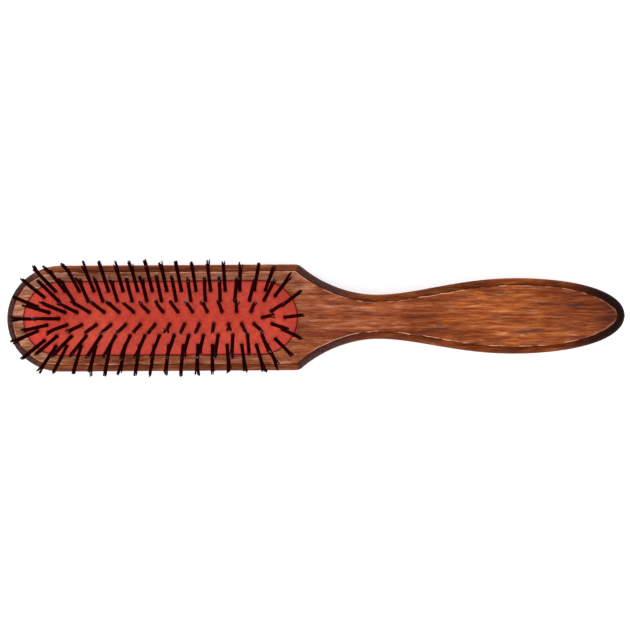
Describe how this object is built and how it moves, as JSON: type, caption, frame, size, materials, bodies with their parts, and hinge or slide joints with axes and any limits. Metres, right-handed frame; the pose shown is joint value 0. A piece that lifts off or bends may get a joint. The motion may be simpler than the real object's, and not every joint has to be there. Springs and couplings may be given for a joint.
{
  "type": "cushion hairbrush",
  "caption": "Narrow wooden hairbrush with a round-ended head, a domed rubber cushion set in its face, nylon tufts that fan outwards, and a waisted handle",
  "frame": {"origin": "on the surface the brush lies on, under the middle of its length and width", "axes": "+X runs from the head to the handle's tip, +Z is the side the bristles stand on, +Y is across the head"},
  "size_m": [0.23, 0.0413, 0.0358],
  "materials": {
    "wood": "stained red brown, open grain along the brush, satin",
    "rubber": "moulded red rubber, soft matt sheen",
    "nylon": "black nylon filament, slightly glossy"
  },
  "bodies": {
    "handle": {"wood_body": "wood"},
    "cushion_bed": {"rubber_cushion": "rubber"},
    "row_1_bristles": {"row_1_tufts_1": "nylon", "row_1_tufts_2": "nylon", "row_1_tufts_3": "nylon", "row_1_tufts_4": "nylon", "row_1_tufts_5": "nylon", "row_1_tufts_6": "nylon", "row_1_tufts_7": "nylon", "row_1_tufts_8": "nylon"},
    "row_2_bristles": {"row_2_tufts_1": "nylon", "row_2_tufts_2": "nylon", "row_2_tufts_3": "nylon", "row_2_tufts_4": "nylon", "row_2_tufts_5": "nylon", "row_2_tufts_6": "nylon", "row_2_tufts_7": "nylon", "row_2_tufts_8": "nylon"},
    "row_3_bristles": {"row_3_tufts_1": "nylon", "row_3_tufts_2": "nylon", "row_3_tufts_3": "nylon", "row_3_tufts_4": "nylon", "row_3_tufts_5": "nylon", "row_3_tufts_6": "nylon", "row_3_tufts_7": "nylon", "row_3_tufts_8": "nylon"},
    "row_4_bristles": {"row_4_tufts_1": "nylon", "row_4_tufts_2": "nylon", "row_4_tufts_3": "nylon", "row_4_tufts_4": "nylon", "row_4_tufts_5": "nylon", "row_4_tufts_6": "nylon", "row_4_tufts_7": "nylon", "row_4_tufts_8": "nylon"},
    "row_5_bristles": {"row_5_tufts_1": "nylon", "row_5_tufts_2": "nylon", "row_5_tufts_3": "nylon", "row_5_tufts_4": "nylon", "row_5_tufts_5": "nylon", "row_5_tufts_6": "nylon", "row_5_tufts_7": "nylon", "row_5_tufts_8": "nylon"},
    "row_6_bristles": {"row_6_tufts_1": "nylon", "row_6_tufts_2": "nylon", "row_6_tufts_3": "nylon", "row_6_tufts_4": "nylon", "row_6_tufts_5": "nylon", "row_6_tufts_6": "nylon", "row_6_tufts_7": "nylon", "row_6_tufts_8": "nylon"},
    "toe_bristles": {"toe_tufts_1": "nylon", "toe_tufts_2": "nylon", "toe_tufts_3": "nylon"},
    "heel_bristles": {"heel_tufts_1": "nylon", "heel_tufts_2": "nylon", "heel_tufts_3": "nylon"}
  },
  "joints": [
    {"name": "cushion_press", "type": "slide", "parent": "handle", "child": "cushion_bed", "axis": [0, 0, -1], "range_m": [0, 0.003], "stiffness_N_per_m": 3000, "deforming": ["rubber_cushion"]},
    {"name": "row_1_lean", "type": "hinge", "parent": "cushion_bed", "child": "row_1_bristles", "pos_m": [-0.05727, 0.0101, 0.01535], "axis": [1, 0, 0], "range_deg": [-8, 8], "stiffness_Nm_per_rad": 0.05},
    {"name": "row_2_lean", "type": "hinge", "parent": "cushion_bed", "child": "row_2_bristles", "pos_m": [-0.05635, 0.0064, 0.0173], "axis": [1, 0, 0], "range_deg": [-8, 8], "stiffness_Nm_per_rad": 0.05},
    {"name": "row_3_lean", "type": "hinge", "parent": "cushion_bed", "child": "row_3_bristles", "pos_m": [-0.05796, 0.0023, 0.0183], "axis": [1, 0, 0], "range_deg": [-8, 8], "stiffness_Nm_per_rad": 0.05},
    {"name": "row_4_lean", "type": "hinge", "parent": "cushion_bed", "child": "row_4_bristles", "pos_m": [-0.05619, -0.0023, 0.01829], "axis": [1, 0, 0], "range_deg": [-8, 8], "stiffness_Nm_per_rad": 0.05},
    {"name": "row_5_lean", "type": "hinge", "parent": "cushion_bed", "child": "row_5_bristles", "pos_m": [-0.05715, -0.0064, 0.01731], "axis": [1, 0, 0], "range_deg": [-8, 8], "stiffness_Nm_per_rad": 0.05},
    {"name": "row_6_lean", "type": "hinge", "parent": "cushion_bed", "child": "row_6_bristles", "pos_m": [-0.05673, -0.0101, 0.01534], "axis": [1, 0, 0], "range_deg": [-8, 8], "stiffness_Nm_per_rad": 0.05},
    {"name": "toe_lean", "type": "hinge", "parent": "cushion_bed", "child": "toe_bristles", "pos_m": [-0.09987, 0, 0.01651], "axis": [0, 1, 0], "range_deg": [-8, 8], "stiffness_Nm_per_rad": 0.05},
    {"name": "heel_lean", "type": "hinge", "parent": "cushion_bed", "child": "heel_bristles", "pos_m": [-0.01422, 0, 0.01624], "axis": [0, 1, 0], "range_deg": [-8, 8], "stiffness_Nm_per_rad": 0.05}
  ]
}
